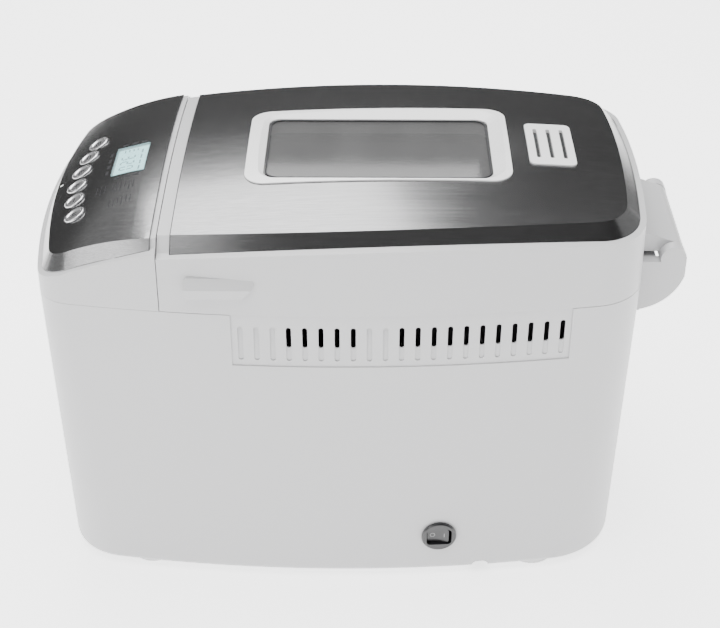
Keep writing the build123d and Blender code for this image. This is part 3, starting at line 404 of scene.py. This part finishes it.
def button_piece(name, key):
    """A bright ring round a dull face."""
    on = button_frame(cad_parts[name])
    mesh_bm = bmesh.new()
    turned_cap(mesh_bm, on)
    for face in mesh_bm.faces:
        face.smooth = True
        x, y, height = on.inverted() @ face.calc_center_median()
        if math.hypot(x, y) < FACE_RADIUS * MM and height > -CAP_DEPTH / 2 * MM:
            face.material_index = 1
    piece = finished(name + "_cap", mesh_bm, CHROME, key)
    piece.data.materials.append(BUTTON_FACE)
    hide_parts(name)


def symbol_piece(name, key):
    """The bars printed on a button's face."""
    on = button_frame(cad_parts[name])
    across, up_slope, outward = on.to_3x3().col
    mesh_bm = bmesh.new()
    for x, y, length, width, turned in SYMBOLS[name]:
        centre = on @ (Vector((x, y, -SYMBOL_DEPTH)) * MM)
        along = up_slope if turned else across
        add_bar(mesh_bm, centre, outward, along, length * MM, width * MM, SYMBOL_THICK * MM)
    finished(name + "_symbol", mesh_bm, INK, key)


for button_name, key_body in KEYS.items():
    button_piece(button_name, key_body)
    symbol_piece(button_name, key_body)


# ------------------------------------------------------------------ printed marks and the display
MARK_THICK = 0.08
ABOVE = 320.0                   # a height over the whole machine, in millimetres
DISPLAY_MIDDLE = (2.8, -147.8)
DIGIT = (3.8, 8.4, 7.0, 1.0)    # width, height, pitch and stroke
PRINT_LINE = 2.6
PRINT_STROKE = 0.55
WORD_GAP = 0.9
# Each segment's place across and up, in half widths and half heights, and whether it stands.
SEGMENTS = {"a": (0, 1, False), "g": (0, 0, False), "d": (0, -1, False), "b": (1, 0.5, True),
            "c": (1, -0.5, True), "f": (-1, 0.5, True), "e": (-1, -0.5, True)}
LIT_SEGMENTS = {"0": "abcdef", "2": "abged", "3": "abgcd"}


class Surface:
    """A node's faces, to lay thin marks on as seen along a direction."""

    def __init__(self, node, way):
        self.tree = BVHTree.FromPolygons([vertex.co for vertex in node.data.vertices],
                                         [polygon.vertices for polygon in node.data.polygons])
        self.way = Vector(way)

    def spot(self, place):
        """The point met from place along the direction, and the way its face looks."""
        hit, normal, _, _ = self.tree.ray_cast(place, self.way)
        if hit is None:
            raise RuntimeError("a printed mark misses its surface at %s" % (tuple(place),))
        if normal.dot(self.way) > 0:
            normal = -normal
        return hit, normal


def marks(name, node, bars, material):
    """Thin marks on a node's upward faces: each is x, y, length, width and whether it runs along Y."""
    surface = Surface(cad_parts[node], (0, 0, -1))
    mesh_bm = bmesh.new()
    for x, y, length, width, turned in bars:
        hit, normal = surface.spot(Vector((x, y, ABOVE)) * MM)
        along = Vector((0, 1, 0)) if turned else Vector((1, 0, 0))
        add_bar(mesh_bm, hit, normal, along, length * MM, width * MM, MARK_THICK * MM)
    finished(name, mesh_bm, material, "base")


def digit_bars(text, x, y):
    """Seven-segment digits, read from the machine's front."""
    width, height, pitch, stroke = DIGIT
    bars = []
    for i, letter in enumerate(text):
        for segment in LIT_SEGMENTS[letter]:
            across, up, stands = SEGMENTS[segment]
            length = height / 2 - stroke if stands else width - stroke
            middle = (x + i * pitch + across * width / 2, y + up * height / 2)
            bars.append((*middle, length, stroke, stands))
    return bars


def display_bars():
    """A row and a column of short labels round three digits."""
    x, y = DISPLAY_MIDDLE
    bars = digit_bars("320", x - 5.5, y - 2.2)
    for i in range(4):
        bars.append((x - 11 + i * 7.4, y + 6.4, 4.8, 1.1, False))
        bars.append((x - 14.5, y + 3.0 - i * 2.8, 2.8, 0.9, False))
    return bars


def list_bars(x, y, lines):
    """Printed lines, one below the other, each a row of words given by their lengths."""
    bars = []
    for i, words in enumerate(lines):
        start = x
        for word in words:
            bars.append((start + word / 2, y - i * PRINT_LINE, word, PRINT_STROKE, False))
            start += word + WORD_GAP
    return bars


def fascia_bars():
    """Legends round the display, and three printed lists to the right of it."""
    x, y = DISPLAY_MIDDLE
    bars = []
    for i in range(3):
        bars.append((x - 21.8, y + 6.5 - i * 6.2, 4.2, 2.4, True))
        bars.append((x + 22.0, y + 6.5 - i * 6.2, 4.2, 2.2, True))
    for i in range(4):
        bars.append((x - 12 + i * 8.0, y - 13.8, 4.6, 1.9, False))
    bars += list_bars(x + 28, y + 6, ((5, 3), (4, 6), (7,), (3, 4, 2), (6, 3), (8,)))
    bars += list_bars(x + 28, y - 12, ((6, 2), (3, 6), (4, 4)))
    bars += list_bars(x + 46, y + 6, ((4, 3), (6,), (3, 5), (7,), (5, 2), (4, 4)))
    return bars


marks("panel_legends", "control_fascia", fascia_bars(), INK)
marks("display_segments", "lcd_module", display_bars(), SEGMENT)


# ------------------------------------------------------------------ switch marks
OUTSIDE = 100.0                 # how far out to look at the rocker from
SYMBOL_OFF_CENTRE = 3.9
RING_RADIUS = 1.5
RING_STEPS = 24
LINE = 0.44


def switch_marks():
    """A ring on one end of the rocker and a bar on the other."""
    low, high = (Vector(corner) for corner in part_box("switch_rocker"))
    middle = (low + high) / 2
    face = Surface(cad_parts["switch_rocker"], (-1, 0, 0))
    mesh_bm = bmesh.new()
    for i in range(RING_STEPS):
        angle = math.tau * i / RING_STEPS
        around = Vector((0, math.cos(angle), math.sin(angle))) * RING_RADIUS
        hit, normal = face.spot(middle + (Vector((OUTSIDE, -SYMBOL_OFF_CENTRE, 0)) + around) * MM)
        along = Vector((0, -math.sin(angle), math.cos(angle)))
        add_bar(mesh_bm, hit, normal, along, LINE * MM, 0.4 * MM, MARK_THICK * MM)
    hit, normal = face.spot(middle + Vector((OUTSIDE, SYMBOL_OFF_CENTRE, 0)) * MM)
    add_bar(mesh_bm, hit, normal, Vector((0, 0, 1)), 2 * RING_RADIUS * MM, LINE * MM, MARK_THICK * MM)
    finished("switch_marks", mesh_bm, PALE_INK, "rocker")


switch_marks()


# ------------------------------------------------------------------ window seal
SEAL_INSET = 4.9                # from the glass's edge to the seal's middle line
SEAL_CORNER = 8.0
# Each corner of the seal's section: how far in from that line, and how far above the glass.
SEAL_SECTION = ((-0.2, 0.05), (-0.2, 0.75), (0.75, 0.75), (0.75, 0.05))


def window_seal():
    """The thin dark seal between the window's frame and its glass."""
    low, high = (Vector(corner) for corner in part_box("outer_glass"))
    edge = Vector((SEAL_INSET, SEAL_INSET, 0)) * MM
    rings = []
    for inset, lift in SEAL_SECTION:
        height = high.z + lift * MM
        rings.append(rounded_loop(low + edge, high - edge, inset * MM, SEAL_CORNER * MM, height))
    mesh_bm = bmesh.new()
    closed_band(mesh_bm, rings)
    bmesh.ops.recalc_face_normals(mesh_bm, faces=mesh_bm.faces)
    finished("window_seal", mesh_bm, RUBBER, "lid")


window_seal()


# ------------------------------------------------------------------ vent shade sheet, painted shade under the slots
SHADE_SHEET_INSET = 4.4              # from the grille's edge to the shade sheet's
SHADE_SHEET_CORNER = 2.0
SHADE_SHEET_DEPTHS = (3.3, 4.1)      # of its two faces, under the grille's highest point


def vent_shade_sheet():
    """A black sheet across the steam duct: painted shade, seen through the vent's slots."""
    low, high = (Vector(corner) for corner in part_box("vent_grille"))
    edge = Vector((SHADE_SHEET_INSET, SHADE_SHEET_INSET, 0)) * MM
    mesh_bm = bmesh.new()
    rings = []
    for depth in SHADE_SHEET_DEPTHS:
        loop = rounded_loop(low + edge, high - edge, 0.0, SHADE_SHEET_CORNER * MM, high.z - depth * MM, 4)
        rings.append([mesh_bm.verts.new(point) for point in loop])
    upper, lower = rings
    for i, corner in enumerate(upper):
        mesh_bm.faces.new((upper[i - 1], corner, lower[i], lower[i - 1]))
    for ring in rings:
        mesh_bm.faces.new(ring)
    bmesh.ops.recalc_face_normals(mesh_bm, faces=mesh_bm.faces)
    # The sheet is painted shade in the black switch plastic: it darkens the slots.
    finished("vent_shade_sheet", mesh_bm, BLACK, "lid")


vent_shade_sheet()


# ------------------------------------------------------------------ painted shade in the gaps round the metal skins
GAP_SHADE_WIDTH = 0.44
GAP_SHADE_THICK = 0.2
GAP_SHADE_OVERLAP = 0.2              # added to each short length, so that the lengths join
UPWARD = 0.3                    # least Z of the normal of a skin's outer face
SHARP = 1.0                     # least angle across a skin's rim, in radians


def paint_gap_shade(name, node, body):
    """A thin dark line of painted shade along every edge where the skin's outer face meets what is round
    it, where the gap between the parts would be in shade.
    """
    skin_bm = bmesh.new()
    skin_bm.from_mesh(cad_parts[node].data)
    bmesh.ops.remove_doubles(skin_bm, verts=skin_bm.verts, dist=0.005 * MM)
    skin_bm.normal_update()
    gap_shade_bm = bmesh.new()
    for edge in skin_bm.edges:
        top = max(edge.link_faces, key=lambda face: face.normal.z)
        if top.normal.z < UPWARD or edge.calc_face_angle(0.0) < SHARP:
            continue
        start, end = (vertex.co for vertex in edge.verts)
        along = end - start
        length = along.length + GAP_SHADE_OVERLAP * MM
        add_bar(gap_shade_bm, (start + end) / 2, top.normal, along, length, GAP_SHADE_WIDTH * MM, GAP_SHADE_THICK * MM)
    skin_bm.free()
    # The lines are painted shade in the black rubber's colour, where the gap round the skin would be
    # shaded.
    finished(name, gap_shade_bm, RUBBER, body)


paint_gap_shade("lid_skin_gap_shade", "lid_top_plate", "lid")
paint_gap_shade("fascia_gap_shade", "control_fascia", "base")


# ------------------------------------------------------------------ studio
def studio_floor():
    finish = Finish("floor_paint", Roughness=0.9, Emission_Strength=2.0, Emission_Color=grey(1.0))
    cloud = finish.noise(1.5, 2.0)
    material = finish.feed(Base_Color=finish.blend(cloud, grey(0.93), grey(0.95)))
    floor_bm = bmesh.new()
    bmesh.ops.create_grid(floor_bm, x_segments=1, y_segments=1, size=6.0)
    floor = add_mesh("studio_floor", floor_bm)
    dress(floor, material)


def soft_box(name, place, aim, width, height, power):
    lamp = bpy.data.lights.new(name, "AREA")
    lamp.shape = "RECTANGLE"
    lamp.size = width
    lamp.size_y = height
    lamp.energy = power
    holder = bpy.data.objects.new(name, lamp)
    holder.location = place
    holder.rotation_euler = (Vector(aim) - Vector(place)).to_track_quat("-Z", "Y").to_euler()
    bpy.context.scene.collection.objects.link(holder)


def dark_flag(name, place, aim, width, height, level=0.0):
    """A dark card that only shows in reflections, to darken what the metal mirrors."""
    material = Finish(name, Base_Color=grey(level), Roughness=1.0, Specular_IOR_Level=0.0).material
    flag_bm = bmesh.new()
    turn = (Vector(aim) - Vector(place)).to_track_quat("-Z", "Y").to_matrix().to_4x4()
    size = Matrix.Diagonal((width / 2, height / 2, 1, 1))
    bmesh.ops.create_grid(flag_bm, x_segments=1, y_segments=1, size=1.0,
                          matrix=Matrix.Translation(place) @ turn @ size)
    flag = add_mesh(name, flag_bm)
    dress(flag, material)
    flag.visible_camera = False
    flag.visible_diffuse = False
    flag.visible_shadow = False


def studio_world():
    world = bpy.data.worlds.new("studio")
    world.use_nodes = True
    background = world.node_tree.nodes["Background"]
    background.inputs["Color"].default_value = grey(1.0)
    background.inputs["Strength"].default_value = 0.6
    bpy.context.scene.world = world


def studio_camera():
    camera = bpy.data.cameras.new("camera")
    camera.lens = CAMERA_LENS
    camera.sensor_width = CAMERA_SENSOR
    camera.dof.use_dof = False
    holder = bpy.data.objects.new("camera", camera)
    holder.location = CAMERA_AT
    holder.rotation_euler = (CAMERA_LOOKS_AT - CAMERA_AT).to_track_quat("-Z", "Y").to_euler()
    bpy.context.scene.collection.objects.link(holder)
    bpy.context.scene.camera = holder


studio_floor()
studio_world()
studio_camera()
soft_box("overhead", (0.1, 0.0, 2.4), (0, 0, 0), 2.6, 2.6, 130)
soft_box("key", (1.5, -1.7, 1.3), (0, 0, 0.15), 1.1, 1.1, 18)
soft_box("sheen", (-1.47, -0.36, 1.93), (0, 0, 0.25), 0.9, 1.1, 24)
soft_box("window_glint", (-1.6, 0.0, 1.16), (0, 0, 0.27), 0.4, 0.06, 0.35)
dark_flag("far_flag", (-1.65, 0.2, 0.52), (0, 0.2, 0.52), 2.8, 1.06, 0.06)
dark_flag("front_flag", (-1.3, -1.25, 0.5), (0, -0.16, 0.35), 1.6, 1.0, 0.05)
dark_flag("high_flag", (0.65, 0.45, 1.15), (0.1, 0.0, 0.25), 1.8, 1.5, 0.02)
dark_flag("side_flag", (-1.3, 0.95, 1.35), (0, 0.1, 0.25), 1.5, 1.7, 0.06)
